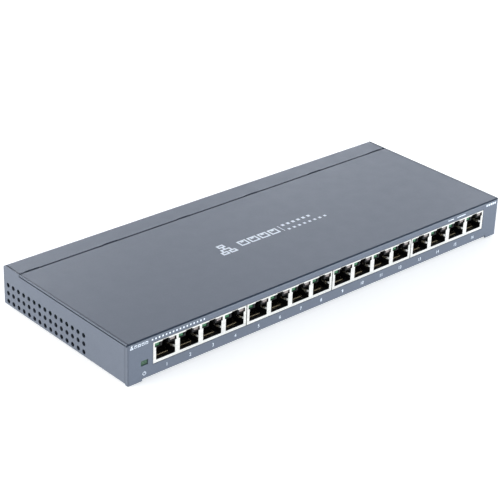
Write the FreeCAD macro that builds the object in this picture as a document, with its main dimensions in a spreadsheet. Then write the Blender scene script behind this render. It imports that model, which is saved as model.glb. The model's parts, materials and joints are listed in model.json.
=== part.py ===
"""Sixteen-port desktop network switch, one STEP file for each physical piece.

Millimetres, +Z up. X runs to the right as seen from the front, and the front panel faces -Y. The origin is
the middle of the footprint, on the plane that the rubber feet stand on.
"""
import FreeCAD, Part
import os
import re

import Sketcher

SIZES = {
    # folded steel case
    "case_width": 286.0,
    "case_depth": 111.7,
    "case_height": 24.4,
    "foot_height": 1.0,
    "sheet_metal": 0.8,
    "tight_bend": 1.2,
    "front_bend": 1.2,
    "rear_bend": 1.6,
    "corner_bend": 0.9,
    "corner_return": 2.4,
    "fold_gap": 0.2,
    "strip_gap": 0.3,
    "lid_gap": 0.75,
    "floor_setback": 1.55,
    "wall_flange": 6.0,
    "low_end_width": 9.2,
    "low_end_gap": 0.4,
    "flange_reach": 8.5,
    # seam between the cover and the rear strip
    "strip_depth": 14.2,
    "seam_gap": 1.2,
    "seam_side_gap": 0.4,
    "tongue_pitch": 53.6,
    "tongue_width": 8.9,
    "tongue_reach": 7.5,
    "notch_width": 9.5,
    "notch_depth": 0.5,
    # side vents
    "vent_radius": 1.4,
    "vent_pitch": 5.0,
    "vent_first": -18.1,
    "vent_low": 3.25,
    # port bank
    "bank_offset": 1.5,
    "group_pitch": 64.15,
    "port_pitch": 15.77,
    "window_gap": 0.3,
    "shield_width": 63.6,
    "shield_low": 7.75,
    "shield_height": 12.4,
    "shield_depth": 21.0,
    "shield_metal": 0.25,
    "shield_lip": 0.1,
    "shield_sole": 6.0,
    "port_width": 12.65,
    "port_upper_width": 14.3,
    "port_low": 1.62,
    "port_step": 9.15,
    "port_high": 11.55,
    "latch_width": 4.25,
    "latch_high": 12.1,
    "ground_tab_low": 4.65,
    "ground_tab_high": 5.95,
    "ground_tab_radius": 8.0,
    "ground_tab_bulge": 1.0,
    "ground_tab_depth": 4.25,
    # connector block
    "block_gap": 0.3,
    "block_face": 0.45,
    "cavity_width": 12.0,
    "cavity_mouth": 13.2,
    "cavity_mouth_depth": 6.4,
    "cavity_depth": 13.0,
    "cavity_high": 8.75,
    "lamp_width": 3.6,
    "lamp_height": 1.95,
    "lamp_offset": 5.2,
    "lamp_low": 9.3,
    "lamp_length": 12.0,
    "lamp_recess": 0.9,
    "lamp_fit": 0.05,
    # spring wires in each port
    "wire_pitch": 1.016,
    "wire_width": 0.55,
    "wire_thick": 0.3,
    "wire_length": 8.0,
    "wire_tip": 0.8,
    "wire_angle": 20.0,
    "wire_root_depth": 3.3,
    "wire_root_high": 2.0,
    "lead_gap": 0.1,
    "lead_low": 0.42,
    "lead_run": 15.1,
    "lead_lip": 0.28,
    "lead_poke": 1.0,
    "lead_hole": 0.45,
    # circuit board and its fixings
    "board_width": 278.0,
    "board_depth": 107.4,
    "board_low": 6.15,
    "board_thick": 1.6,
    "post_radius": 2.75,
    "post_x": 134.6,
    "post_front": -44.0,
    "post_back": 48.0,
    "post_inner_x": 45.0,
    "post_inner_y": 33.0,
    "screw_radius": 1.43,
    "screw_hole": 1.7,
    "thread_hole": 1.47,
    "head_radius": 2.8,
    "head_height": 1.7,
    "wafer_height": 0.7,
    "cover_screw_y": -50.3,
    "cover_screw_outer": 112.0,
    "cover_screw_inner": 38.0,
    "drive_radius": 1.2,
    "insulator": 0.25,
    # underside
    "foot_radius": 6.0,
    "foot_x": 122.0,
    "foot_front": -37.0,
    "foot_back": 43.0,
    "key_x": 79.0,
    "key_hole": 4.0,
    "key_slot": 2.0,
    "key_run": 7.0,
    "label_y": 16.0,
    "label_width": 84.0,
    "label_depth": 38.0,
    "label_thick": 0.1,
    # rear panel
    "inlet_x": -112.0,
    "inlet_width": 9.0,
    "inlet_height": 11.0,
    "inlet_length": 14.3,
    "inlet_axis": 6.5,
    "inlet_bore": 3.2,
    "inlet_bore_depth": 9.6,
    "inlet_pin": 1.05,
    "inlet_tail": 0.85,
    "inlet_gap": 0.2,
    "leaf_width": 2.4,
    "leaf_thick": 0.3,
    "leaf_length": 7.4,
    "leaf_angle": 8.0,
    "leaf_drop": 3.35,
    "lock_x": 118.0,
    "lock_width": 7.0,
    "lock_height": 3.0,
    "lock_axis": 12.0,
    # power lamp
    "power_x": -132.3,
    "power_width": 4.6,
    "power_height": 3.0,
    "power_axis": 10.5,
    "pipe_length": 6.0,
    "pipe_recess": 0.5,
    "pipe_fit": 0.1,
    # electronics
    "magnetic_width": 14.4,
    "magnetic_depth": 9.4,
    "magnetic_height": 5.8,
    "magnetic_y": -26.5,
    "chip_side": 24.0,
    "chip_height": 1.5,
    "chip_y": 6.0,
    "pad_height": 0.5,
    "sink_side": 40.0,
    "sink_base": 2.0,
    "sink_fin": 8.0,
    "fin_thick": 1.2,
    "fin_pitch": 5.5,
}

SIDES = (-1, 1)
GROUPS = (-1.5, -0.5, 0.5, 1.5)
PORTS_IN_GROUP = (-1.5, -0.5, 0.5, 1.5)
TONGUES = (-2.5, -1.5, -0.5, 0.5, 1.5, 2.5)
TAB_SECTORS = {-1: (328, 42), 1: (170, 42)}
VENT_COLUMNS = 15
VENT_ROWS = 3
WIRES = 8
FINS = 8

RIGHT = "case_width/2"
FRONT = "-case_depth/2"
BACK = "case_depth/2"
BASE = "foot_height"
LID = "(foot_height + case_height)"
SHIELD_BASE = "(foot_height + shield_low)"
SHIELD_FACE = "(-case_depth/2 + shield_lip)"
BOARD_TOP = "(foot_height + board_low + board_thick)"
INLET_FACE = "(case_depth/2 - shield_lip)"
INLET_AXIS = "(foot_height + board_low + board_thick + inlet_axis)"
SEAM = "(case_depth/2 - strip_depth)"

document = FreeCAD.newDocument("network_switch")
sheet = document.addObject("Spreadsheet::Sheet", "Sizes")
for row, (word, number) in enumerate(SIZES.items(), start=1):
    sheet.set("A%d" % row, word)
    sheet.set("B%d" % row, str(number))
    sheet.setAlias("B%d" % row, word)
document.recompute()

ALIAS = re.compile(r"[a-z_]+")
nodes = {}


def bound(formula):
    """Write a formula's words as cells of the Sizes sheet."""
    def cell(match):
        return "Sizes." + match.group(0) if match.group(0) in SIZES else match.group(0)
    return ALIAS.sub(cell, str(formula))


def value(formula):
    return sheet.evalExpression(bound(formula))


def node(label, shape):
    """Name a finished piece; the label is also its file name."""
    shape.Label = label
    nodes[label] = shape
    return shape


def around(middle, width):
    return ("(%s) - (%s)/2" % (middle, width), "(%s) + (%s)/2" % (middle, width))


def above(low, height):
    return (low, "(%s) + (%s)" % (low, height))


def on_side(side, near, far):
    """A span between two distances from the middle plane, on one side of it."""
    if side > 0:
        return (near, far)
    return ("-(%s)" % far, "-(%s)" % near)


def block(name, x, y, z):
    """A box between three pairs of low and high formulas."""
    box = document.addObject("Part::Box", name)
    spans = zip(("x", "y", "z"), ("Length", "Width", "Height"), (x, y, z))
    for axis, length, (low, high) in spans:
        box.setExpression("Placement.Base." + axis, bound(low))
        box.setExpression(length, bound("(%s) - (%s)" % (high, low)))
    return box


AXIS_TURNS = {
    "x": FreeCAD.Rotation(FreeCAD.Vector(0, 1, 0), FreeCAD.Vector(0, 0, 1), FreeCAD.Vector(1, 0, 0), "ZXY"),
    "y": FreeCAD.Rotation(FreeCAD.Vector(0, 0, 1), FreeCAD.Vector(1, 0, 0), FreeCAD.Vector(0, 1, 0), "ZXY"),
    "z": FreeCAD.Rotation(),
}


def rod(name, along, start, radius, length, sector=None):
    """A cylinder along one axis from its start point. A sector is (first angle, swept angle) in degrees."""
    cylinder = document.addObject("Part::Cylinder", name)
    first, swept = sector or (0, 360)
    spin = FreeCAD.Rotation(FreeCAD.Vector(0, 0, 1), first)
    cylinder.Placement = FreeCAD.Placement(FreeCAD.Vector(), AXIS_TURNS[along].multiply(spin))
    cylinder.Angle = swept
    cylinder.setExpression("Radius", bound(radius))
    cylinder.setExpression("Height", bound(length))
    for axis, place in zip("xyz", start):
        cylinder.setExpression("Placement.Base." + axis, bound(place))
    return cylinder


def join(name, pieces):
    fused = document.addObject("Part::MultiFuse", name)
    fused.Shapes = pieces
    fused.Refine = True
    return fused


def group(name, pieces):
    """Separate solids that share one node."""
    compound = document.addObject("Part::Compound", name)
    compound.Links = pieces
    return compound


def carve(name, base, tools):
    """The base with every tool cut away."""
    cut = document.addObject("Part::Cut", name)
    cut.Base = base
    cut.Tool = tools[0] if len(tools) == 1 else group(name + "_tools", tools)
    cut.Refine = True
    return cut


def bend(name, along, start, outer, length, first):
    """A quarter of a folded corner, one sheet thick."""
    outside = rod(name + "_outside", along, start, outer, length, (first, 90))
    inside = rod(name + "_inside", along, start, "%s - sheet_metal" % outer, length, (first, 90))
    return carve(name, outside, [inside])


def plane(body, role):
    return next(feature for feature in body.Origin.OriginFeatures if feature.Role == role)


def outline(body, name, role, corners):
    """A closed sketch of straight lines, every corner held by two formulas."""
    sketch = body.newObject("Sketcher::SketchObject", name)
    sketch.AttachmentSupport = (plane(body, role), [""])
    sketch.MapMode = "FlatFace"
    points = [FreeCAD.Vector(value(across), value(up), 0) for across, up in corners]
    for index, point in enumerate(points):
        sketch.addGeometry(Part.LineSegment(point, points[(index + 1) % len(points)]))
    for index in range(len(points)):
        sketch.addConstraint(Sketcher.Constraint("Coincident", index, 2, (index + 1) % len(points), 1))
    for index, (across, up) in enumerate(corners):
        for kind, formula in (("DistanceX", across), ("DistanceY", up)):
            number = sketch.addConstraint(Sketcher.Constraint(kind, -1, 1, index, 1, value(formula)))
            sketch.setExpression("Constraints[%d]" % number, bound(formula))
    return sketch


def new_body(name):
    body = document.addObject("PartDesign::Body", name)
    body.AllowCompound = True
    return body


def pad(body, sketch, length, kind="PartDesign::Pad"):
    """A sketch raised or cut by a length, half of it to each side."""
    feature = body.newObject(kind, sketch.Name + "_solid")
    feature.Profile = sketch
    feature.SideType = "Symmetric"
    feature.setExpression("Length", bound(length))
    body.Tip = feature
    return feature


def repeat(body, feature, steps):
    """Copies of a feature along X, one pattern for each (pitch, count)."""
    multi = body.newObject("PartDesign::MultiTransform", feature.Name + "_copies")
    multi.Originals = [feature]
    patterns = []
    for pitch, count in steps:
        pattern = document.addObject("PartDesign::LinearPattern", feature.Name + "_row")
        pattern.Direction = (plane(body, "X_Axis"), [""])
        pattern.Occurrences = count
        pattern.setExpression("Length", bound("(%s)*%d" % (pitch, count - 1)))
        body.addObject(pattern)
        patterns.append(pattern)
    multi.Transformations = patterns
    body.Tip = multi
    return multi


def port_middle(group_step, port_step):
    return "(bank_offset + group_pitch*%s + port_pitch*%s)" % (group_step, port_step)


def all_ports():
    return [port_middle(step, place) for step in GROUPS for place in PORTS_IN_GROUP]


# --------------------------------------------------------------------------- folded base


def side_wall(side):
    """One side: wall, floor bend, top flange under the cover and the taller rear corner."""
    tag = "left" if side < 0 else "right"
    wall = on_side(side, RIGHT + " - sheet_metal", RIGHT)
    wall_front = FRONT + " + corner_return + fold_gap"
    wall_top = LID + " - sheet_metal - lid_gap"
    bend_top = BASE + " + tight_bend"
    middle = "%d*(%s - tight_bend)" % (side, RIGHT)
    flange = on_side(side, RIGHT + " - wall_flange", RIGHT + " - sheet_metal/2")
    corner = "(%s - rear_bend)" % BACK
    round_low = LID + " - rear_bend"
    step = SEAM + " - seam_gap + seam_side_gap"
    return [
        bend(tag + "_floor_bend", "y", (middle, wall_front, bend_top), "tight_bend",
             "%s - (%s)" % (BACK, wall_front), 90 if side > 0 else 180),
        block(tag + "_wall", wall, (wall_front, step), (bend_top, wall_top)),
        block(tag + "_top_flange", flange, (wall_front + " + wall_flange", SEAM + " - tongue_reach/2"),
              (wall_top + " - sheet_metal", wall_top)),
        block(tag + "_rear_wall_low", wall, (step, BACK), (bend_top, round_low)),
        block(tag + "_rear_wall_high", wall, (step, corner), (round_low, LID)),
        rod(tag + "_rear_wall_round", "x", (wall[0], corner, round_low), "rear_bend", "sheet_metal",
            (0, 90)),
    ]


def rear_wall():
    """The rear wall and the strip folded forward from it."""
    length = "case_width - 2*sheet_metal - 2*strip_gap"
    span = around("0", length)
    bend_top = BASE + " + tight_bend"
    round_low = LID + " - rear_bend"
    return [
        bend("rear_floor_bend", "x", (span[0], BACK + " - tight_bend", bend_top), "tight_bend", length,
             270),
        block("rear_wall", span, (BACK + " - sheet_metal", BACK), (bend_top, round_low)),
        bend("rear_top_bend", "x", (span[0], BACK + " - rear_bend", round_low), "rear_bend", length, 0),
        block("rear_strip", span, (SEAM, BACK + " - rear_bend"), (LID + " - sheet_metal", LID)),
    ]


def vent_tools():
    """Three rows of round holes through both side walls."""
    tools = []
    for level in range(VENT_ROWS):
        for column in range(VENT_COLUMNS):
            along = "vent_first + vent_pitch*%d" % column
            up = "foot_height + vent_low + vent_pitch*%d" % level
            start = ("-case_width/2 - 1", along, up)
            tools.append(rod("vent", "x", start, "vent_radius", "case_width + 2"))
    return tools


def keyhole_tools():
    """Two wall-hanging keyholes: a round entry and a narrower run towards the rear panel."""
    tools = []
    below = "-1"
    for side in SIDES:
        middle = "%d*key_x" % side
        tools.append(rod("key_entry", "z", (middle, "0", below), "key_hole", "foot_height + 3"))
        run_height = (below, "foot_height + 2")
        tools.append(block("key_run", around(middle, "2*key_slot"), ("0", "key_run"), run_height))
        tools.append(rod("key_end", "z", (middle, "key_run", below), "key_slot", "foot_height + 3"))
    return [join("keyholes_%d" % index, tools[3 * index:3 * index + 3]) for index in range(2)]


def cover_screw_places():
    distances = ("-cover_screw_outer", "-cover_screw_inner", "cover_screw_inner", "cover_screw_outer")
    return [(distance, "cover_screw_y") for distance in distances]


def post_places():
    corners = [("%d*post_x" % side, "post_%s" % end) for side in SIDES for end in ("front", "back")]
    return corners + [("%d*post_inner_x" % side, "post_inner_y") for side in SIDES]


def make_base():
    floor = block("floor", around("0", "case_width - 2*tight_bend"),
                  (FRONT + " + floor_setback", BACK + " - tight_bend"), above(BASE, "sheet_metal"))
    pieces = [floor] + rear_wall()
    for side in SIDES:
        pieces += side_wall(side)
    folded = join("folded_base", pieces)
    tools = vent_tools() + keyhole_tools()
    for x, y in cover_screw_places():
        tools.append(rod("cover_screw_hole", "z", (x, y, "0"), "screw_hole", "foot_height + 2"))
    strip = (LID + " - 2*sheet_metal", LID + " + 1")
    for step in TONGUES:
        tools.append(block("strip_notch", around("tongue_pitch*%s" % step, "notch_width"),
                           (SEAM + " - 1", SEAM + " + notch_depth"), strip))
    through = (BACK + " - 2", BACK + " + 1")
    tools.append(block("inlet_hole", around("inlet_x", "inlet_width + 2*inlet_gap"), through,
                       (BOARD_TOP + " - inlet_gap", BOARD_TOP + " + inlet_height + inlet_gap")))
    tools.append(block("lock_slot", around("lock_x", "lock_width"), through,
                       around(BASE + " + lock_axis", "lock_height")))
    node("base_chassis", carve("base_with_holes", folded, tools))


# --------------------------------------------------------------------------- folded cover


def cover_tongue(step):
    """A tongue that steps down from the cover's rear edge and lies under the rear strip."""
    span = around("tongue_pitch*%s" % step, "tongue_width")
    edge = "(%s - seam_gap)" % SEAM
    start = edge + " - sheet_metal"
    under = LID + " - 2*sheet_metal - lid_gap/2"
    return [
        block("tongue_step", span, (start, edge), (under, LID + " - sheet_metal/2")),
        block("tongue", span, (start, edge + " + tongue_reach"), above(under, "sheet_metal")),
    ]


def cover_corner(side):
    """The short return at one end of the front panel, and the panel's lower end."""
    wall = on_side(side, RIGHT + " - sheet_metal", RIGHT)
    inner_end = RIGHT + " - low_end_width"
    high = LID + " - front_bend"
    middle = "%d*(%s - corner_bend)" % (side, RIGHT)
    return [
        bend("corner_fold", "z", (middle, FRONT + " + corner_bend", BASE), "corner_bend",
             "case_height - front_bend", 180 if side < 0 else 270),
        block("corner_return", wall, (FRONT + " + corner_bend", FRONT + " + corner_return"), (BASE, high)),
        block("low_end", on_side(side, inner_end, RIGHT + " - corner_bend"), above(FRONT, "sheet_metal"),
              (BASE, BASE + " + 2*sheet_metal + tight_bend")),
    ]


def corner_trimmer(side):
    """The sharp sliver outside the rounded vertical corner."""
    edge = on_side(side, RIGHT + " - corner_bend", RIGHT + " + 1")
    start = ("%d*(%s - corner_bend)" % (side, RIGHT), FRONT + " + corner_bend", "0")
    height = LID + " + 1"
    square = block("corner_square", edge, (FRONT + " - 1", FRONT + " + corner_bend"), ("0", height))
    rounding = rod("corner_round", "z", start, "corner_bend", height)
    return carve("corner_sliver", square, [rounding])


def make_cover():
    panel_low = BASE + " + sheet_metal + tight_bend"
    flange_length = "case_width - 2*low_end_width - 2*low_end_gap"
    flange_span = around("0", flange_length)
    pieces = [
        block("top_plate", around("0", "case_width"), (FRONT + " + front_bend", SEAM + " - seam_gap"),
              (LID + " - sheet_metal", LID)),
        bend("front_top_bend", "x", ("-case_width/2", FRONT + " + front_bend", LID + " - front_bend"),
             "front_bend", "case_width", 90),
        block("front_panel", around("0", "case_width - 2*corner_bend"), above(FRONT, "sheet_metal"),
              (panel_low, LID + " - front_bend")),
        bend("front_floor_bend", "x", (flange_span[0], FRONT + " + tight_bend", panel_low), "tight_bend",
             flange_length, 180),
        block("front_flange", flange_span, (FRONT + " + tight_bend", FRONT + " + flange_reach"),
              above(BASE + " + sheet_metal", "sheet_metal")),
    ]
    for side in SIDES:
        pieces += cover_corner(side)
    for step in TONGUES:
        pieces += cover_tongue(step)
    folded = join("folded_cover", pieces)
    bank = around("bank_offset", "3*group_pitch + shield_width + 2*window_gap")
    tools = [
        block("port_window", bank, (FRONT + " - 1", FRONT + " + 2"),
              (SHIELD_BASE + " - window_gap", SHIELD_BASE + " + shield_height + window_gap")),
        block("power_window", around("power_x", "power_width"), (FRONT + " - 1", FRONT + " + 2"),
              around(BASE + " + power_axis", "power_height")),
    ]
    tools += [corner_trimmer(side) for side in SIDES]
    for x, y in cover_screw_places():
        tools.append(rod("cover_thread", "z", (x, y, "0"), "thread_hole", "foot_height + 3"))
    node("top_cover", carve("cover_with_holes", folded, tools))


# --------------------------------------------------------------------------- underside


def make_feet():
    """Round stick-on feet with a softened lower edge."""
    feet = []
    for side in SIDES:
        for end in ("front", "back"):
            middle = ("%d*foot_x" % side, "foot_" + end)
            disc = rod("foot_disc", "z", middle + ("foot_height*0.3",), "foot_radius", "foot_height*0.7")
            sole = document.addObject("Part::Cone", "foot_sole")
            sole.setExpression("Radius1", bound("foot_radius - foot_height*0.4"))
            sole.setExpression("Radius2", bound("foot_radius"))
            sole.setExpression("Height", bound("foot_height*0.3"))
            sole.setExpression("Placement.Base.x", bound(middle[0]))
            sole.setExpression("Placement.Base.y", bound(middle[1]))
            feet.append(join("foot", [disc, sole]))
    node("rubber_feet", group("feet", feet))


def make_label():
    thickness = (BASE + " - label_thick", BASE)
    node("blank_label", block("label", around("0", "label_width"), around("label_y", "label_depth"),
                              thickness))


def screw(name, x, y, head_low, head_tall, shank_low, shank_high, drive_low):
    """A round head, a plain shank and a hexagonal drive recess."""
    head = rod(name + "_head", "z", (x, y, head_low), "head_radius", head_tall)
    shank_length = "(%s) - (%s)" % (shank_high, shank_low)
    shank = rod(name + "_shank", "z", (x, y, shank_low), "screw_radius", shank_length)
    drive = document.addObject("Part::Prism", name + "_drive")
    drive.Polygon = 6
    drive.setExpression("Circumradius", bound("drive_radius"))
    drive.setExpression("Height", bound("1"))
    for axis, place in zip("xyz", (x, y, drive_low)):
        drive.setExpression("Placement.Base." + axis, bound(place))
    return carve(name, join(name + "_body", [head, shank]), [drive])


def make_cover_screws():
    screws = [screw("cover_screw", x, y, BASE + " - wafer_height", "wafer_height", BASE, BASE + " + 4.2",
                    BASE + " - wafer_height - 0.6") for x, y in cover_screw_places()]
    node("cover_screws", group("cover_screw_set", screws))


# --------------------------------------------------------------------------- board


def make_board():
    body = new_body("board_body")
    low, high = around("0", "board_width")
    front, back = around("0", "board_depth")
    corners = [(low, front), (high, front), (high, back), (low, back)]
    square = outline(body, "board_outline", "XY_Plane", corners)
    raised = body.newObject("PartDesign::Pad", "board_plate")
    raised.Profile = square
    raised.setExpression("Length", bound("board_thick"))
    body.Tip = raised
    left, right = around(all_ports()[0] + " - wire_pitch*3.5", "2*lead_hole")
    near, far = around(SHIELD_FACE + " + wire_root_depth + lead_run", "2*lead_hole")
    hole = outline(body, "lead_hole_outline", "XY_Plane",
                   [(left, near), (right, near), (right, far), (left, far)])
    drilled = pad(body, hole, "board_thick*4", "PartDesign::Pocket")
    steps = [("wire_pitch", WIRES), ("port_pitch", len(PORTS_IN_GROUP)), ("group_pitch", len(GROUPS))]
    repeat(body, drilled, steps)
    body.setExpression("Placement.Base.z", bound("foot_height + board_low"))
    tools = [rod("post_hole", "z", (x, y, BASE), "screw_hole", "board_low + 4") for x, y in post_places()]
    for y in inlet_leg_places():
        tools.append(block("inlet_leg_hole", around("inlet_x", "1.8"), around(y, "1.0"),
                           (BASE + " + board_low - 1", BOARD_TOP + " + 1")))
    node("circuit_board", carve("board_with_holes", body, tools))


def make_posts():
    """Threaded stand-offs pressed into the floor."""
    posts = []
    for x, y in post_places():
        post = rod("post", "z", (x, y, BASE + " + sheet_metal"), "post_radius", "board_low - sheet_metal")
        bore = rod("post_bore", "z", (x, y, BASE), "thread_hole", "board_low + 1")
        posts.append(carve("threaded_post", post, [bore]))
    node("board_posts", group("post_set", posts))


def make_board_screws():
    screws = [screw("board_screw", x, y, BOARD_TOP, "head_height", BOARD_TOP + " - 5", BOARD_TOP,
                    BOARD_TOP + " + head_height - 0.8") for x, y in post_places()]
    node("board_screws", group("board_screw_set", screws))


def make_insulator():
    depth = ("post_front + 4", "post_back + 3")
    sheet_block = block("insulator_sheet", around("0", "board_width - 12"), depth,
                        above(BASE + " + sheet_metal", "insulator"))
    tools = [rod("insulator_hole", "z", (x, y, "0"), "post_radius + 0.4", "10") for x, y in post_places()]
    node("insulation_sheet", carve("insulator_with_holes", sheet_block, tools))


# --------------------------------------------------------------------------- port connectors


def port_opening(x, name, y):
    """The stepped mouth of one port: plug opening, lamp shoulders and latch notch."""
    low = SHIELD_BASE + " + port_low"
    step = SHIELD_BASE + " + port_step"
    high = SHIELD_BASE + " + port_high"
    return [
        block(name + "_plug", around(x, "port_width"), y, (low, high)),
        block(name + "_lamps", around(x, "port_upper_width"), y, (step, high)),
        block(name + "_latch", around(x, "latch_width"), y, (step, SHIELD_BASE + " + latch_high")),
    ]


def ground_tab(x, side):
    """A spring tab that bows into the mouth, from the edge between two ports."""
    outward = "port_width/2 - ground_tab_bulge + ground_tab_radius"
    start = ("%s + %d*(%s)" % (x, side, outward), SHIELD_FACE + " + ground_tab_depth",
             SHIELD_BASE + " + ground_tab_low")
    height = "ground_tab_high - ground_tab_low"
    sector = TAB_SECTORS[side]
    outside = rod("ground_tab_outside", "z", start, "ground_tab_radius", height, sector)
    inside = rod("ground_tab_inside", "z", start, "ground_tab_radius - shield_metal", height, sector)
    return carve("ground_tab", outside, [inside])


def make_shield(number, step):
    middle = "bank_offset + group_pitch*%s" % step
    inner_width = "shield_width - 2*shield_metal"
    outer = block("can", around(middle, "shield_width"), above(SHIELD_FACE, "shield_depth"),
                  above(SHIELD_BASE, "shield_height"))
    inner = block("can_inside", around(middle, inner_width),
                  above(SHIELD_FACE + " + shield_metal", "shield_depth - 2*shield_metal"),
                  (SHIELD_BASE + " + shield_metal", SHIELD_BASE + " + shield_height - shield_metal"))
    sole = block("can_sole", around(middle, inner_width),
                 (SHIELD_FACE + " + shield_sole", SHIELD_FACE + " + shield_depth - shield_metal"),
                 (SHIELD_BASE + " - 1", SHIELD_BASE + " + 1"))
    tools = [inner, sole]
    tabs = []
    for place in PORTS_IN_GROUP:
        x = port_middle(step, place)
        tools += port_opening(x, "mouth", (SHIELD_FACE + " - 1", SHIELD_FACE + " + 2*shield_metal"))
        tabs += [ground_tab(x, side) for side in SIDES]
    can = document.addObject("Part::Cut", "open_can")
    can.Base = outer
    can.Tool = join("can_tools", tools)
    node("jack_shield_%d" % number, join("shield_with_tabs", [can] + tabs))


def cavity_tools(x):
    """The room of one port in the insert: plug, latch, lamps, spring wires and leads."""
    face = "(%s + block_face)" % SHIELD_FACE
    front = face + " - 1"
    back = face + " + cavity_depth"
    floor = SHIELD_BASE + " + port_low"
    plug = (floor, SHIELD_BASE + " + cavity_high")
    root = SHIELD_FACE + " + wire_root_depth"
    wires = around(x, "wire_pitch*%d" % WIRES)
    tools = [
        block("cavity", around(x, "cavity_width"), (front, back), plug),
        block("cavity_mouth", around(x, "cavity_mouth"), (front, face + " + cavity_mouth_depth"), plug),
        block("latch_way", around(x, "latch_width"), (front, back),
              (floor, SHIELD_BASE + " + latch_high - block_gap")),
        block("wire_slot", wires, (root + " - 0.9", root + " + 0.4"), (SHIELD_BASE, floor + " + 1")),
        block("lead_way", wires, (root + " - 0.9", root + " + lead_run + 0.9"),
              (SHIELD_BASE, SHIELD_BASE + " + lead_low + wire_thick + 0.1")),
    ]
    return tools + [lamp_block("lamp_pocket", x, side, "lamp_fit") for side in SIDES]


def make_block(number, step):
    """The black insert behind one shield, with four plug cavities and their lamp pockets."""
    middle = "bank_offset + group_pitch*%s" % step
    solid = block("insert", around(middle, "shield_width - 2*block_gap"),
                  (SHIELD_FACE + " + block_face", SHIELD_FACE + " + shield_depth - 2*block_gap"),
                  (SHIELD_BASE + " + block_gap", SHIELD_BASE + " + shield_height - block_gap"))
    tools = []
    for place in PORTS_IN_GROUP:
        tools += cavity_tools(port_middle(step, place))
    insert = document.addObject("Part::Cut", "insert_with_ports")
    insert.Base = solid
    insert.Tool = join("insert_tools", tools)
    insert.Refine = True
    node("jack_block_%d" % number, insert)


def lamp_block(name, x, side, extra):
    """The room of one port lamp, on one side of the latch."""
    face = "(%s + block_face)" % SHIELD_FACE
    front = face + " - 1" if name == "lamp_pocket" else SHIELD_FACE + " + lamp_recess"
    width = around("%s + %d*lamp_offset" % (x, side), "lamp_width + 2*%s" % extra)
    height = above(SHIELD_BASE + " + lamp_low - " + extra, "lamp_height + 2*%s" % extra)
    return block(name, width, (front, face + " + lamp_length + " + extra), height)


def make_lamps():
    for side, label in ((-1, "link_lamps"), (1, "speed_lamps")):
        node(label, group(label + "_set", [lamp_block("lamp", x, side, "0") for x in all_ports()]))


def wire_corners():
    """Side view of one spring wire: it rises to the rear from its root and turns level at the tip."""
    rise = "tan(wire_angle)"
    reach = "wire_length"
    half = "wire_thick/2"
    return [
        ("0", "-" + half),
        (reach, "%s*%s - %s" % (reach, rise, half)),
        (reach + " + wire_tip", "%s*%s - %s" % (reach, rise, half)),
        (reach + " + wire_tip", "%s*%s + %s" % (reach, rise, half)),
        (reach, "%s*%s + %s" % (reach, rise, half)),
        ("0", half),
    ]


def make_wires():
    for number, x in enumerate(all_ports(), start=1):
        name = "wires_%02d" % number
        body = new_body(name)
        side_view = outline(body, name + "_outline", "YZ_Plane", wire_corners())
        repeat(body, pad(body, side_view, "wire_width"), [("wire_pitch", WIRES)])
        body.setExpression("Placement.Base.x", bound(x + " - wire_pitch*3.5"))
        body.setExpression("Placement.Base.y", bound(SHIELD_FACE + " + wire_root_depth"))
        body.setExpression("Placement.Base.z", bound(SHIELD_BASE + " + wire_root_high"))
        node("jack_wires_%02d" % number, body)


def lead_corners():
    """Side view of one fixed lead: sloped front lip, run under the cavity floor, leg through the board."""
    root = "-lead_gap"
    lip = root + " - lead_lip"
    top = "wire_root_high + wire_thick/2"
    run_top = "lead_low + wire_thick"
    near, far = around("lead_run", "wire_thick")
    foot = "-shield_low + board_low - lead_poke"
    return [
        (lip, "lead_low"),
        (near, "lead_low"),
        (near, foot),
        (far, foot),
        (far, run_top),
        (root, run_top),
        (root, top),
        (lip, top + " - lead_lip"),
    ]


def make_leads():
    for number, step in enumerate(GROUPS, start=1):
        name = "leads_%d" % number
        body = new_body(name)
        side_view = outline(body, name + "_outline", "YZ_Plane", lead_corners())
        steps = [("wire_pitch", WIRES), ("port_pitch", len(PORTS_IN_GROUP))]
        repeat(body, pad(body, side_view, "wire_width"), steps)
        first = port_middle(step, PORTS_IN_GROUP[0]) + " - wire_pitch*3.5"
        body.setExpression("Placement.Base.x", bound(first))
        body.setExpression("Placement.Base.y", bound(SHIELD_FACE + " + wire_root_depth"))
        body.setExpression("Placement.Base.z", bound(SHIELD_BASE))
        node("jack_leads_%d" % number, body)


# --------------------------------------------------------------------------- power inlet and lamp


def inlet_leg_places():
    return ("%s - inlet_length + 1.6" % INLET_FACE, "%s - 6.5" % INLET_FACE)


def make_inlet():
    tail = "%s - inlet_length" % INLET_FACE
    deep = "%s - inlet_bore_depth" % INLET_FACE
    top = BOARD_TOP + " + inlet_height"
    body = block("inlet_body", around("inlet_x", "inlet_width"), (tail, INLET_FACE),
                 above(BOARD_TOP, "inlet_height"))
    bore = rod("inlet_bore_tool", "y", ("inlet_x", deep, INLET_AXIS), "inlet_bore", "inlet_bore_depth + 1")
    waist = block("inlet_waist", around("inlet_x", "inlet_width + 2"),
                  (tail + " - 1", INLET_FACE + " - 3.5"), (top + " - 1.2", top + " + 1"))
    leaf_way = block("leaf_way", around("inlet_x", "leaf_width + 0.4"), (deep, INLET_FACE + " - 1.2"),
                     (INLET_AXIS + " - leaf_drop - 1.5", INLET_AXIS + " - leaf_drop/2"))
    pin_way = rod("pin_way", "y", ("inlet_x", tail + " - 1", INLET_AXIS), "inlet_tail", "inlet_length")
    cut = document.addObject("Part::Cut", "inlet_cut")
    cut.Base = body
    cut.Tool = join("inlet_tools", [bore, waist, leaf_way, pin_way])
    node("inlet_body", cut)


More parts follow.
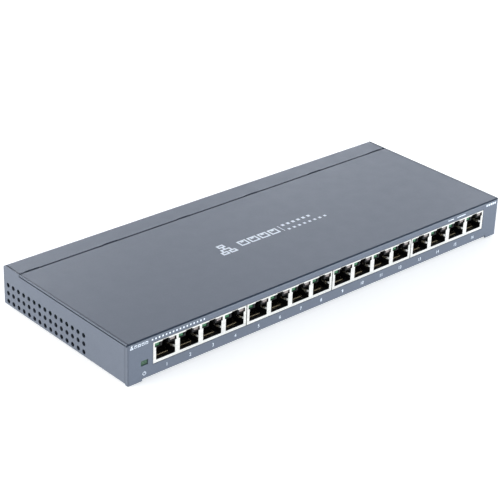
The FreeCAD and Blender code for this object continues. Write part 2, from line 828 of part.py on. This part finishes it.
def make_inlet_pin():
    """The centre pin, its rear plate and its leg through the board."""
    tail = "(%s - inlet_length)" % INLET_FACE
    root = "(%s - inlet_bore_depth + 0.1)" % INLET_FACE
    held_length = "inlet_length - inlet_bore_depth + 0.2"
    pin = rod("pin", "y", ("inlet_x", root, INLET_AXIS), "inlet_pin", "inlet_bore_depth - 2.3")
    held = rod("pin_tail", "y", ("inlet_x", tail, INLET_AXIS), "inlet_tail", held_length)
    tip = document.addObject("Part::Sphere", "pin_tip")
    tip.setExpression("Radius", bound("inlet_pin"))
    for axis, place in zip("xyz", ("inlet_x", INLET_FACE + " - 2.2", INLET_AXIS)):
        tip.setExpression("Placement.Base." + axis, bound(place))
    thickness = (tail + " - 0.4", tail)
    plate_height = (BOARD_TOP + " + 0.3", INLET_AXIS + " + 1.8")
    plate = block("pin_plate", around("inlet_x", "3.2"), thickness, plate_height)
    foot = block("pin_foot", around("inlet_x", "1.4"), thickness, above(BOARD_TOP, "0.4"))
    node("inlet_pin", join("pin_with_plate", [pin, held, tip, plate, foot]))


def make_inlet_legs():
    """Solder legs under the inlet."""
    legs = [block("inlet_leg", around("inlet_x", "1.4"), around(y, "0.5"),
                  (BASE + " + board_low - lead_poke", BOARD_TOP)) for y in inlet_leg_places()]
    node("inlet_legs", group("inlet_leg_set", legs))


def make_leaf():
    """The leaf spring beside the pin. It is held at its inner end and presses on the plug."""
    rise = "tan(leaf_angle)"
    body = new_body("leaf_body")
    corners = [
        ("0", "0"),
        ("leaf_length", "leaf_length*" + rise),
        ("leaf_length + 0.8", "leaf_length*%s - 0.25" % rise),
        ("leaf_length + 0.8", "leaf_length*%s - 0.25 - leaf_thick" % rise),
        ("leaf_length", "leaf_length*%s - leaf_thick" % rise),
        ("0", "-leaf_thick"),
    ]
    pad(body, outline(body, "leaf_outline", "YZ_Plane", corners), "leaf_width")
    body.setExpression("Placement.Base.x", bound("inlet_x"))
    body.setExpression("Placement.Base.y", bound(INLET_FACE + " - inlet_bore_depth + 0.1"))
    body.setExpression("Placement.Base.z", bound(INLET_AXIS + " - leaf_drop"))
    node("inlet_leaf", body)


def make_power_lamp():
    """A clear pipe from the window in the front panel to the lamp on the board."""
    low, high = around(BASE + " + power_axis", "power_height - 2*pipe_fit")
    width = around("power_x", "power_width - 2*pipe_fit")
    back = FRONT + " + pipe_length"
    over_lamp = (back + " - 2.6", back)
    window = block("pipe_window", width, (FRONT + " + pipe_recess", back), (low, high))
    roof = block("pipe_post", width, over_lamp, (BOARD_TOP + " + 1.1", high))
    feet = [block("pipe_foot", around("power_x + %d*1.8" % side, "0.8"), over_lamp, (BOARD_TOP, high))
            for side in SIDES]
    node("power_light_pipe", join("pipe", [window, roof] + feet))
    node("power_lamp", block("power_led", around("power_x", "2.0"), around(back + " - 1.3", "1.25"),
                             above(BOARD_TOP, "1.0")))


# --------------------------------------------------------------------------- electronics


def board_blocks(label, places, width, depth, height):
    """Equal rectangular parts standing on the board."""
    pieces = [block(label + "_piece", around(x, width), around(y, depth), above(BOARD_TOP, height))
              for x, y in places]
    node(label, group(label + "_set", pieces) if len(pieces) > 1 else pieces[0])


def make_heat_sink():
    low = BOARD_TOP + " + chip_height + pad_height"
    depth = around("chip_y", "sink_side")
    pieces = [block("sink_plate", around("0", "sink_side"), depth, above(low, "sink_base"))]
    for fin in range(FINS):
        x = "fin_pitch*%s" % (fin - (FINS - 1) / 2)
        tall = above(low + " + sink_base/2", "sink_fin + sink_base/2")
        pieces.append(block("sink_fin", around(x, "fin_thick"), depth, tall))
    node("heat_sink", join("finned_sink", pieces))


def make_cans():
    """Upright round capacitors near the inlet."""
    cans = []
    for x in (-98, -89, -80, -71):
        cans.append(rod("can_body", "z", (str(x), "42", BOARD_TOP), "3.15", "7.7"))
    node("round_capacitors", group("round_capacitor_set", cans))


def small_part_places():
    rows = []
    for step in GROUPS:
        for place in range(-5, 6):
            rows.append(("bank_offset + group_pitch*%s + 5*%d" % (step, place), "-18.5"))
    for place in range(-4, 5):
        rows.append(("4*%d" % place, "-9"))
        rows.append(("62 + 3.2*%d" % place, "19"))
        rows.append(("-62 + 3.2*%d" % place, "19"))
    return rows


def make_electronics():
    node("switch_chip", block("chip", around("0", "chip_side"), around("chip_y", "chip_side"),
                              above(BOARD_TOP, "chip_height")))
    node("thermal_pad", block("pad_sheet", around("0", "chip_side - 2"), around("chip_y", "chip_side - 2"),
                              above(BOARD_TOP + " + chip_height", "pad_height")))
    make_heat_sink()
    board_blocks("line_transformers", [(x, "magnetic_y") for x in all_ports()], "magnetic_width",
                 "magnetic_depth", "magnetic_height")
    board_blocks("line_chips", [("-62", "6"), ("62", "6")], "14", "14", "1.0")
    board_blocks("crystals", [("27", "-6"), ("-76", "6")], "5", "3.2", "1.1")
    board_blocks("memory_chip", [("-31", "-4")], "5.2", "4", "1.6")
    board_blocks("power_coils", [("-98", "28"), ("-86", "28")], "7.3", "7.3", "4.2")
    board_blocks("regulators", [("-98", "18"), ("-86", "18"), ("-74", "28")], "5", "4", "1.6")
    board_blocks("small_parts", small_part_places(), "1.6", "0.8", "0.6")
    make_cans()


# --------------------------------------------------------------------------- build and export


def make_all():
    make_base()
    make_cover()
    make_feet()
    make_label()
    make_cover_screws()
    make_board()
    make_posts()
    make_board_screws()
    make_insulator()
    for number, step in enumerate(GROUPS, start=1):
        make_shield(number, step)
        make_block(number, step)
    make_wires()
    make_leads()
    make_lamps()
    make_inlet()
    make_inlet_pin()
    make_inlet_legs()
    make_leaf()
    make_power_lamp()
    make_electronics()


def check_document():
    for item in document.Objects:
        if {"Invalid", "Error"} & set(item.State):
            raise RuntimeError("%s (%s) is %s" % (item.Name, item.Label, item.State))
    for label, item in nodes.items():
        if item.Shape.isNull() or not item.Shape.isValid() or not item.Shape.Solids:
            raise RuntimeError("%s has no sound solid" % label)


def write_steps():
    os.makedirs("parts", exist_ok=True)
    for label, item in nodes.items():
        item.Shape.exportStep("parts/%s.step" % label)
        print("%-20s %3d solids %12.3f mm3" % (label, len(item.Shape.Solids), item.Shape.Volume))


make_all()
document.recompute()
check_document()
write_steps()
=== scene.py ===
"""Looks of the desktop network switch round its CAD frame: materials, marks, floor, light and camera."""
import json
import math

import bmesh
import bpy
from mathutils import Matrix, Vector


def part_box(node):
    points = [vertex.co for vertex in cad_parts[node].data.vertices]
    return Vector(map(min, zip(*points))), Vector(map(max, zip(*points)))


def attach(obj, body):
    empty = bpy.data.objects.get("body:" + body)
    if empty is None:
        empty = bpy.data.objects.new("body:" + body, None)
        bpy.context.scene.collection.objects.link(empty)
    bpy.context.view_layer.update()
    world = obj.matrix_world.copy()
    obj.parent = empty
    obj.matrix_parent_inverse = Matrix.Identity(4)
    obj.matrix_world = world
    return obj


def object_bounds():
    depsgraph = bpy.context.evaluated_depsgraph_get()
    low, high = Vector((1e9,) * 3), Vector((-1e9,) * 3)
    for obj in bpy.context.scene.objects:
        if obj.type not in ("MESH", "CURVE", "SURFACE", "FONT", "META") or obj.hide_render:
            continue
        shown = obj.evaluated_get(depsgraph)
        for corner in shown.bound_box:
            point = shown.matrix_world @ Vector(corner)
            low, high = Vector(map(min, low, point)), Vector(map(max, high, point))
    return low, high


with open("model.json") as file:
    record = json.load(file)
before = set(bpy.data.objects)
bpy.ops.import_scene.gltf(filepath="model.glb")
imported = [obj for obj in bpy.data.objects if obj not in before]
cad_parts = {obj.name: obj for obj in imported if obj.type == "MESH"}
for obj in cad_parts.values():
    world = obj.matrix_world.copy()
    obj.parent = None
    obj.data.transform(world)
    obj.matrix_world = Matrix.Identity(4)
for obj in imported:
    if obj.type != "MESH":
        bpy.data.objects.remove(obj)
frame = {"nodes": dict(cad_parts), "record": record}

cad_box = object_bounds()

MM = 0.001
CASE = "case"
PORTS = 16
CASE_LOW, CASE_HIGH = cad_box
RIGHT_WAY, BACK_WAY, UP_WAY = Vector((1, 0, 0)), Vector((0, 1, 0)), Vector((0, 0, 1))


# ------------------------------------------------------------ materials

SMOOTH_BELOW = math.radians(28)
NOISE_SPAN = (0.3, 0.7)

# The painted dark reflection lines along the folds of the top plate, in millimetres.
FOLD_ZONE = (1.6, 1.8)  # how far from the plate's edge a line is whole, and where it is gone
FOLD_BLUR = 0.35
FRONT_FOLD = {"middle": 0.15, "reach": 0.6}
SIDE_FOLD = {"middle": 0.8, "reach": 0.3}


class Surface:
    """A Principled material with a few procedural layers on top."""

    def __init__(self, name, colour, roughness, metallic=0.0, specular=0.5):
        self.material = bpy.data.materials.new(name)
        self.material.use_nodes = True
        self.tree = self.material.node_tree
        self.shader = self.tree.nodes["Principled BSDF"]
        self.colour = colour
        self.roughness = roughness
        self.shader.inputs["Base Color"].default_value = (*colour, 1.0)
        self.shader.inputs["Roughness"].default_value = roughness
        self.shader.inputs["Metallic"].default_value = metallic
        self.shader.inputs["Specular IOR Level"].default_value = specular
        self.bump = None
        self.hue = None

    def add(self, kind, **values):
        made = self.tree.nodes.new(kind)
        for key, value in values.items():
            made.inputs[key].default_value = value
        return made

    def link(self, source, target):
        self.tree.links.new(source, target)

    def own_place(self):
        """The place on the object, in its own metres."""
        return self.add("ShaderNodeTexCoord").outputs["Object"]

    def noise(self, scale, detail, stretch):
        """Noise over the object's own metres; a stretch below 1 draws it out along that axis."""
        mapping = self.add("ShaderNodeMapping", Scale=stretch)
        cloud = self.add("ShaderNodeTexNoise", Scale=scale, Detail=detail)
        self.link(self.own_place(), mapping.inputs["Vector"])
        self.link(mapping.outputs["Vector"], cloud.inputs["Vector"])
        return cloud.outputs["Fac"]

    def rescale(self, source, given, wanted):
        """A socket taken from one pair of values to another, and held there beyond them."""
        ramp = self.add("ShaderNodeMapRange")
        for key, value in zip(("From Min", "From Max", "To Min", "To Max"), (*given, *wanted)):
            ramp.inputs[key].default_value = value
        self.link(source, ramp.inputs["Value"])
        return ramp.outputs["Result"]

    def reckon(self, operation, *terms):
        """One step of arithmetic on sockets or plain numbers."""
        step = self.add("ShaderNodeMath")
        step.operation = operation
        for socket, term in zip(step.inputs, terms):
            if isinstance(term, (int, float)):
                socket.default_value = term
            else:
                self.link(term, socket)
        return step.outputs["Value"]

    def mottle(self, scale, amount, stretch=(1, 1, 1)):
        """The colour lightens and darkens a little over the surface."""
        gain = self.rescale(self.noise(scale, 4.0, stretch), NOISE_SPAN, (1.0 - amount, 1.0 + amount))
        mixer = self.add("ShaderNodeVectorMath")
        mixer.operation = "SCALE"
        mixer.inputs[0].default_value = self.colour
        self.link(gain, mixer.inputs["Scale"])
        self.hue = mixer.outputs["Vector"]
        self.link(self.hue, self.shader.inputs["Base Color"])
        return self

    def fold_line(self, inward, downward, middle, reach):
        """A narrow band along a fold of the top plate; inward and downward are metres from its two faces."""
        along = self.reckon("SUBTRACT", self.reckon("SUBTRACT", inward, downward), middle * MM)
        blur = (reach * MM, (reach + FOLD_BLUR) * MM)
        band = self.rescale(self.reckon("ABSOLUTE", along), blur, (1, 0))
        zone = [edge * MM for edge in FOLD_ZONE]
        near = self.reckon("MULTIPLY", *(self.rescale(gap, zone, (1, 0)) for gap in (inward, downward)))
        return self.reckon("MULTIPLY", band, near)

    def dark_folds(self, tint):
        """Painted dark reflection: the colour is darker in a line along the front and side folds of the top
        plate, where the folds reflect the dark of the studio.
        """
        axes = self.add("ShaderNodeSeparateXYZ")
        self.link(self.own_place(), axes.inputs["Vector"])
        from_side = self.reckon("SUBTRACT", CASE_HIGH.x, self.reckon("ABSOLUTE", axes.outputs["X"]))
        from_front = self.reckon("SUBTRACT", axes.outputs["Y"], CASE_LOW.y)
        from_top = self.reckon("SUBTRACT", CASE_HIGH.z, axes.outputs["Z"])
        mask = self.reckon("MAXIMUM", self.fold_line(from_front, from_top, **FRONT_FOLD),
                           self.fold_line(from_side, from_top, **SIDE_FOLD))
        shade = self.add("ShaderNodeMixRGB", Color2=(*tint, 1))
        shade.blend_type = "MULTIPLY"
        self.link(mask, shade.inputs["Fac"])
        self.link(self.hue, shade.inputs["Color1"])
        self.link(shade.outputs["Color"], self.shader.inputs["Base Color"])
        return self

    def sheen_patches(self, scale, amount, stretch=(1, 1, 1)):
        """The roughness wanders by an amount."""
        wander = (self.roughness - amount, self.roughness + amount)
        span = self.rescale(self.noise(scale, 3.0, stretch), NOISE_SPAN, wander)
        self.link(span, self.shader.inputs["Roughness"])
        return self

    def grain(self, scale, height, strength=0.5, stretch=(1, 1, 1)):
        """A fine relief of that height in millimetres."""
        relief = self.add("ShaderNodeBump", Strength=strength, Distance=height * MM)
        self.link(self.noise(scale, 4.0, stretch), relief.inputs["Height"])
        if self.bump is not None:
            self.link(self.bump, relief.inputs["Normal"])
        self.bump = relief.outputs["Normal"]
        self.link(self.bump, self.shader.inputs["Normal"])
        return self


def powder_coat(name, colour, roughness):
    return (Surface(name, colour, roughness, specular=0.45)
            .mottle(900, 0.035)
            # painted dark reflection along the front and side folds of the top plate
            .dark_folds(tint=(0.12, 0.20, 0.30))
            .sheen_patches(120, 0.04)
            .grain(900, 0.05, 0.30)
            .grain(3200, 0.02, 0.25))


def bare_metal(name, colour, roughness, stretch=(1, 1, 1), scale=700):
    return (Surface(name, colour, roughness, metallic=1.0)
            .mottle(scale, 0.05, stretch)
            .sheen_patches(scale, 0.07, stretch)
            .grain(scale * 2, 0.01, 0.25, stretch))


def moulded(name, colour, roughness, specular=0.4):
    return (Surface(name, colour, roughness, specular=specular)
            .mottle(400, 0.10)
            .sheen_patches(500, 0.06)
            .grain(2500, 0.02, 0.35))


def lens(name, colour, roughness):
    made = (Surface(name, colour, roughness)
            .mottle(700, 0.18)
            .sheen_patches(900, 0.05)
            .grain(1200, 0.02, 0.3))
    made.shader.inputs["Transmission Weight"].default_value = 0.35
    made.shader.inputs["Coat Weight"].default_value = 0.4
    made.shader.inputs["Coat Roughness"].default_value = 0.08
    return made


def paper(name, colour, roughness):
    return (Surface(name, colour, roughness)
            .mottle(1400, 0.03)
            .sheen_patches(300, 0.05)
            .grain(2600, 0.01, 0.4))


def plastic_film(name, colour, roughness):
    return (Surface(name, colour, roughness)
            .mottle(60, 0.10)
            .sheen_patches(80, 0.08)
            .grain(300, 0.02, 0.2))


def ink(name, colour, roughness):
    return (Surface(name, colour, roughness)
            .mottle(2600, 0.05)
            .sheen_patches(900, 0.06)
            .grain(3500, 0.006, 0.4))


def lightened(colour, gains):
    return (*(value * gain for value, gain in zip(colour, gains)), 1)


def circuit_mask(name, colour):
    """Solder mask with the copper runs showing through as lighter lines."""
    made = Surface(name, colour, 0.35)
    runs = made.add("ShaderNodeTexBrick", Scale=260.0, Color1=(*colour, 1),
                    Color2=lightened(colour, (1.3, 1.25, 1.3)), Mortar=lightened(colour, (2.2, 1.8, 2.0)))
    runs.inputs["Mortar Size"].default_value = 0.03
    made.link(made.own_place(), runs.inputs["Vector"])
    made.link(runs.outputs["Color"], made.shader.inputs["Base Color"])
    return made.sheen_patches(300, 0.05).grain(1500, 0.01, 0.3)


LOOKS = {
    "painted_steel": powder_coat("painted_steel", (0.100, 0.118, 0.158), 0.42),
    "nickel": bare_metal("nickel", (0.86, 0.86, 0.84), 0.27, stretch=(0.12, 1, 1)),
    "black_plastic": moulded("black_plastic", (0.010, 0.010, 0.011), 0.50, specular=0.15),
    "gold_contact": bare_metal("gold_contact", (0.95, 0.80, 0.54), 0.13, stretch=(1, 0.15, 1), scale=1500),
    "green_lens": lens("green_lens", (0.035, 0.190, 0.080), 0.20),
    "clear_lens": lens("clear_lens", (0.38, 0.32, 0.31), 0.16),
    "zinc_screw": bare_metal("zinc_screw", (0.62, 0.63, 0.64), 0.34, scale=1200),
    "rubber": moulded("rubber", (0.022, 0.022, 0.023), 0.78),
    "label_paper": paper("label_paper", (0.80, 0.81, 0.83), 0.55),
    "board_green": circuit_mask("board_green", (0.012, 0.085, 0.040)),
    "black_film": plastic_film("black_film", (0.018, 0.018, 0.020), 0.32),
    "chip_black": moulded("chip_black", (0.020, 0.020, 0.021), 0.62),
    "pad_grey": moulded("pad_grey", (0.30, 0.36, 0.44), 0.80),
    "sink_aluminium": bare_metal("sink_aluminium", (0.74, 0.75, 0.76), 0.36, stretch=(1, 0.08, 1), scale=900),
    "coil_grey": moulded("coil_grey", (0.085, 0.085, 0.090), 0.70),
    "ceramic_tan": moulded("ceramic_tan", (0.42, 0.31, 0.19), 0.45),
}
# A darker copy of the green lens for the power light pipe: painted shade on that lamp.
NODE_LOOKS = {"power_light_pipe": lens("power_lens_painted_shade", (0.015, 0.085, 0.038), 0.20)}
INK = ink("printed_ink", (0.78, 0.83, 0.92), 0.5)


def paint(obj, surface):
    obj.data.materials.clear()
    obj.data.materials.append(surface.material)


def paint_frame():
    for part in frame["record"]["subparts"]:
        obj = frame["nodes"][part["node"]]
        paint(obj, NODE_LOOKS.get(part["node"]) or LOOKS[part["material_slot"]])
        obj.data.polygons.foreach_set("use_smooth", [True] * len(obj.data.polygons))
        obj.data.set_sharp_from_angle(angle=SMOOTH_BELOW)


# ------------------------------------------------------------ printed marks, in millimetres


class Print:
    """Thin marks on one face of the case, from a point of that face and the two directions in it."""

    THICK, SINK = 0.03, 0.01
    DIGIT_SHARE = 0.69  # height of a digit as a share of the type size
    WELD = 0.001

    def __init__(self, origin, right, up):
        turn = Matrix((right, up, right.cross(up))).transposed().to_4x4()
        self.matrix = Matrix.Translation(origin) @ turn @ Matrix.Scale(MM, 4)

    def finish(self, name, mesh_data):
        """Stand the mesh on the face, sunk a hair into it, and let it ride on the case."""
        mesh_data.transform(Matrix.Translation((0, 0, -self.SINK)))
        mesh_data.transform(self.matrix)
        obj = bpy.data.objects.new(name, mesh_data)
        bpy.context.scene.collection.objects.link(obj)
        paint(obj, INK)
        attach(obj, CASE)

    def shapes(self, name, outlines):
        """Raised plates from closed outlines of (right, up) points."""
        work = bmesh.new()
        for points in outlines:
            base = [work.verts.new((u, v, 0)) for u, v in points]
            top = [work.verts.new((u, v, self.THICK)) for u, v in points]
            work.faces.new(list(reversed(base)))
            work.faces.new(top)
            for index in range(len(points)):
                after = (index + 1) % len(points)
                work.faces.new((base[index], base[after], top[after], top[index]))
        mesh_data = bpy.data.meshes.new(name)
        work.to_mesh(mesh_data)
        work.free()
        self.finish(name, mesh_data)

    def number(self, name, text, middle, low, height):
        """A printed number of that digit height, centred on a middle line and standing at a level."""
        curve = bpy.data.curves.new(name + "_curve", "FONT")
        curve.body = text
        curve.size = height / self.DIGIT_SHARE
        curve.align_x = "CENTER"
        curve.resolution_u = 3
        curve.extrude = self.THICK / 2
        holder = bpy.data.objects.new(name + "_holder", curve)
        bpy.context.scene.collection.objects.link(holder)
        bpy.context.view_layer.update()
        solid = holder.evaluated_get(bpy.context.evaluated_depsgraph_get())
        mesh_data = bpy.data.meshes.new_from_object(solid)
        bpy.data.objects.remove(holder)
        bpy.data.curves.remove(curve)
        work = bmesh.new()
        work.from_mesh(mesh_data)
        bmesh.ops.remove_doubles(work, verts=work.verts, dist=self.WELD)
        work.to_mesh(mesh_data)
        work.free()
        mesh_data.transform(Matrix.Translation((middle, low, self.THICK / 2)))
        self.finish(name, mesh_data)


FRONT_PRINT = Print((0, CASE_LOW.y, 0), RIGHT_WAY, UP_WAY)
TOP_PRINT = Print((0, 0, CASE_HIGH.z), RIGHT_WAY, BACK_WAY)

NUMBER_SPREAD, NUMBER_SHIFT = 0.9963, 0.45
NUMBER_LOW, NUMBER_HEIGHT = 4.325, 1.95
LEGEND_LOW, LEGEND_HIGH = 23.05, 23.55
LEGEND_BARS = ((99.0, 102.4), (107.0, 112.8))


def rectangle(left, low, right, high):
    return [(left, low), (right, low), (right, high), (left, high)]


def arc_band(centre, radius, line, first, last, steps):
    """A curved stroke as one closed outline, from one angle to the other, in degrees."""
    angles = [math.radians(first + (last - first) * step / steps) for step in range(steps + 1)]
    inner, outer = ([(centre[0] + away * math.cos(a), centre[1] + away * math.sin(a)) for a in angles]
                    for away in (radius, radius + line))
    return inner[::-1] + outer


def frame_band(left, low, right, high, line):
    """A rectangular outline as four bars that meet without overlapping."""
    return [
        rectangle(left, low, right, low + line),
        rectangle(left, high - line, right, high),
        rectangle(left, low + line, left + line, high - line),
        rectangle(right - line, low + line, right, high - line),
    ]


def network_mark(left, low, width, line):
    """Three linked boxes, one above two, as closed bars."""
    box = 0.46 * width
    tall = 0.32 * width
    high = low + 1.04 * width
    middle = left + width / 2
    shelf = (low + tall + high - tall) / 2
    first, last = left + box / 2, left + width - box / 2
    return (frame_band(middle - box / 2, high - tall, middle + box / 2, high, line)
            + frame_band(left, low, left + box, low + tall, line)
            + frame_band(left + width - box, low, left + width, low + tall, line)
            + [rectangle(middle - line / 2, shelf + line / 2, middle + line / 2, high - tall),
               rectangle(first - line / 2, shelf - line / 2, last + line / 2, shelf + line / 2),
               rectangle(first - line / 2, low + tall, first + line / 2, shelf - line / 2),
               rectangle(last - line / 2, low + tall, last + line / 2, shelf - line / 2)])


def jack_mark(left, low, width, line):
    """The outline of a modular jack with its latch notch."""
    high = low + 0.9 * width
    middle = left + width / 2
    notch = 0.17 * width
    return frame_band(left, low, left + width, high, line) + [
        rectangle(middle - notch, high - line - 0.2 * width, middle + notch, high - line)]


def jack_row(count, pitch, left, low, width, line):
    """Jack marks side by side."""
    rows = (jack_mark(left + pitch * index, low, width, line) for index in range(count))
    return [outline for row in rows for outline in row]


def dot_row(count, pitch, left, low, size):
    """Filled squares side by side."""
    starts = (left + pitch * index for index in range(count))
    return [rectangle(start, low, start + size, low + size) for start in starts]


def power_mark(centre, radius, line):
    """A ring open at the top, with a bar in the gap."""
    ring = arc_band(centre, radius, line, first=125, last=415, steps=24)
    bar_low, bar_high = centre[1] + 0.25, centre[1] + 1.35
    bar = rectangle(centre[0] - line / 2, bar_low, centre[0] + line / 2, bar_high)
    return [ring, bar]


def port_middles():
    """The middle of each port, taken from its spring wires."""
    middles = []
    for number in range(1, PORTS + 1):
        low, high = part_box("jack_wires_%02d" % number)
        middles.append((low.x + high.x) / 2 / MM)
    return middles


def print_port_numbers():
    middles = port_middles()
    bank_middle = (middles[0] + middles[-1]) / 2
    for number, middle in enumerate(middles, start=1):
        place = bank_middle + (middle - bank_middle) * NUMBER_SPREAD + NUMBER_SHIFT
        FRONT_PRINT.number("port_number_%02d" % number, str(number), place, NUMBER_LOW, NUMBER_HEIGHT)


def print_front():
    legend_bars = [rectangle(left, LEGEND_LOW, right, LEGEND_HIGH) for left, right in LEGEND_BARS]
    marks = {
        "power_mark": power_mark(centre=(-132.4, 5.2), radius=0.85, line=0.28),
        "front_network_mark": network_mark(left=-141.6, low=21.95, width=2.1, line=0.24),
        "front_jack_marks": jack_row(count=4, pitch=2.35, left=-138.8, low=22.15, width=1.75, line=0.24),
        "front_port_dots": dot_row(count=PORTS, pitch=2.3, left=-127.6, low=22.8, size=0.9),
        "lamp_legend": dot_row(count=2, pitch=8.0, left=97.6, low=22.9, size=0.8) + legend_bars,
        "front_end_dots": dot_row(count=5, pitch=1.85, left=132.0, low=22.6, size=1.25),
    }
    for name, outlines in marks.items():
        FRONT_PRINT.shapes(name, outlines)


def print_top():
    marks = {
        "network_mark": network_mark(left=-39.9, low=-10.6, width=10.8, line=1.15),
        "jack_marks": jack_row(count=4, pitch=7.8, left=-24.0, low=-8.0, width=6.5, line=1.1),
        "mark_rule": [rectangle(left=8.4, low=-8.2, right=8.9, high=-1.4)],
        "port_dots_rear": dot_row(count=6, pitch=4.1, left=11.4, low=-3.2, size=2.1),
        "port_dots_front": dot_row(count=8, pitch=4.1, left=11.4, low=-8.9, size=1.8),
    }
    for name, outlines in marks.items():
        TOP_PRINT.shapes(name, outlines)


# ------------------------------------------------------------ floor, light and camera, in metres

FLOOR_SIZE, FLOOR_GLOW = 12, 0.52
SKY_COLOUR, SKY_STRENGTH = (0.94, 0.97, 1.0, 1), 0.36
REAR_DISTANCE, REAR_HEIGHT, REAR_SIZE = 2.2, 0.46, (0.8, 0.85)
REAR_WATTS = {20: 16.4, 38: 6.4, 52: 4.5, 68: 14.0}  # by degrees round from the rear to the right
COOL, PALE_BLUE, WARM = (0.86, 0.91, 1.0), (0.88, 0.96, 1.0), (1.0, 1.0, 0.95)

CAMERA_PLACE = Vector((-0.5609, -0.5989, 0.4307))
CAMERA_AZIMUTH, CAMERA_ELEVATION, CAMERA_ROLL = -42.57, 27.05, 2.15
CAMERA_LENS = 113.4


def make_floor():
    bpy.ops.mesh.primitive_plane_add(size=FLOOR_SIZE)
    floor = bpy.context.object
    floor.name = "studio_floor"
    surface = Surface("floor_paper", (0.90, 0.90, 0.90), 0.85).mottle(3, 0.01).grain(400, 0.02, 0.1)
    surface.shader.inputs["Emission Color"].default_value = (1, 1, 1, 1)
    surface.shader.inputs["Emission Strength"].default_value = FLOOR_GLOW
    paint(floor, surface)


def soft_light(name, place, aim, size, watts, colour):
    data = bpy.data.lights.new(name, "AREA")
    data.shape = "RECTANGLE"
    data.size, data.size_y = size
    data.energy = watts
    data.color = colour
    lamp = bpy.data.objects.new(name, data)
    lamp.location = place
    lamp.rotation_euler = (Vector(aim) - Vector(place)).to_track_quat("-Z", "Y").to_euler()
    bpy.context.scene.collection.objects.link(lamp)
    return lamp


def light_rear():
    """Panels in an arc behind the object and to its right, which its top reflects."""
    for azimuth, watts in REAR_WATTS.items():
        turn = math.radians(azimuth)
        place = (REAR_DISTANCE * math.sin(turn), REAR_DISTANCE * math.cos(turn), REAR_HEIGHT)
        soft_light("rear_panel_%d" % azimuth, place, (0, 0, 0), REAR_SIZE, watts, COOL)


def light_left():
    """A panel that lights the left side and that no surface reflects."""
    panel = soft_light("left_panel", place=(-1.45, 0.65, 0.36), aim=(-0.1, 0, 0), size=(1.6, 0.66),
                       watts=33, colour=WARM)
    panel.visible_glossy = False


def light_front():
    soft_light("front_panel_light", place=(0.80, -1.40, 0.26), aim=(0.05, 0, 0), size=(1.8, 0.48),
               watts=31, colour=PALE_BLUE)


def light_sky():
    world = bpy.data.worlds.new("studio")
    bpy.context.scene.world = world
    world.use_nodes = True
    background = world.node_tree.nodes["Background"]
    background.inputs["Color"].default_value = SKY_COLOUR
    background.inputs["Strength"].default_value = SKY_STRENGTH


def set_camera():
    data = bpy.data.cameras.new("photo_camera")
    data.lens = CAMERA_LENS
    data.sensor_width = 36
    data.clip_start, data.clip_end = 0.01, 50
    camera = bpy.data.objects.new("photo_camera", data)
    bpy.context.scene.collection.objects.link(camera)
    turn, drop, roll = (math.radians(a) for a in (CAMERA_AZIMUTH, CAMERA_ELEVATION, CAMERA_ROLL))
    forward = Vector((-math.sin(turn) * math.cos(drop), math.cos(turn) * math.cos(drop), -math.sin(drop)))
    right = forward.cross(UP_WAY).normalized()
    up = right.cross(forward)
    tilted_right = right * math.cos(roll) + up * math.sin(roll)
    tilted_up = up * math.cos(roll) - right * math.sin(roll)
    turn_matrix = Matrix((tilted_right, tilted_up, -forward)).transposed().to_4x4()
    camera.matrix_world = Matrix.Translation(CAMERA_PLACE) @ turn_matrix
    bpy.context.scene.camera = camera


paint_frame()
print_port_numbers()
print_front()
print_top()
make_floor()
light_sky()
light_rear()
light_left()
light_front()
set_camera()
bpy.context.scene.view_settings.view_transform = "Standard"
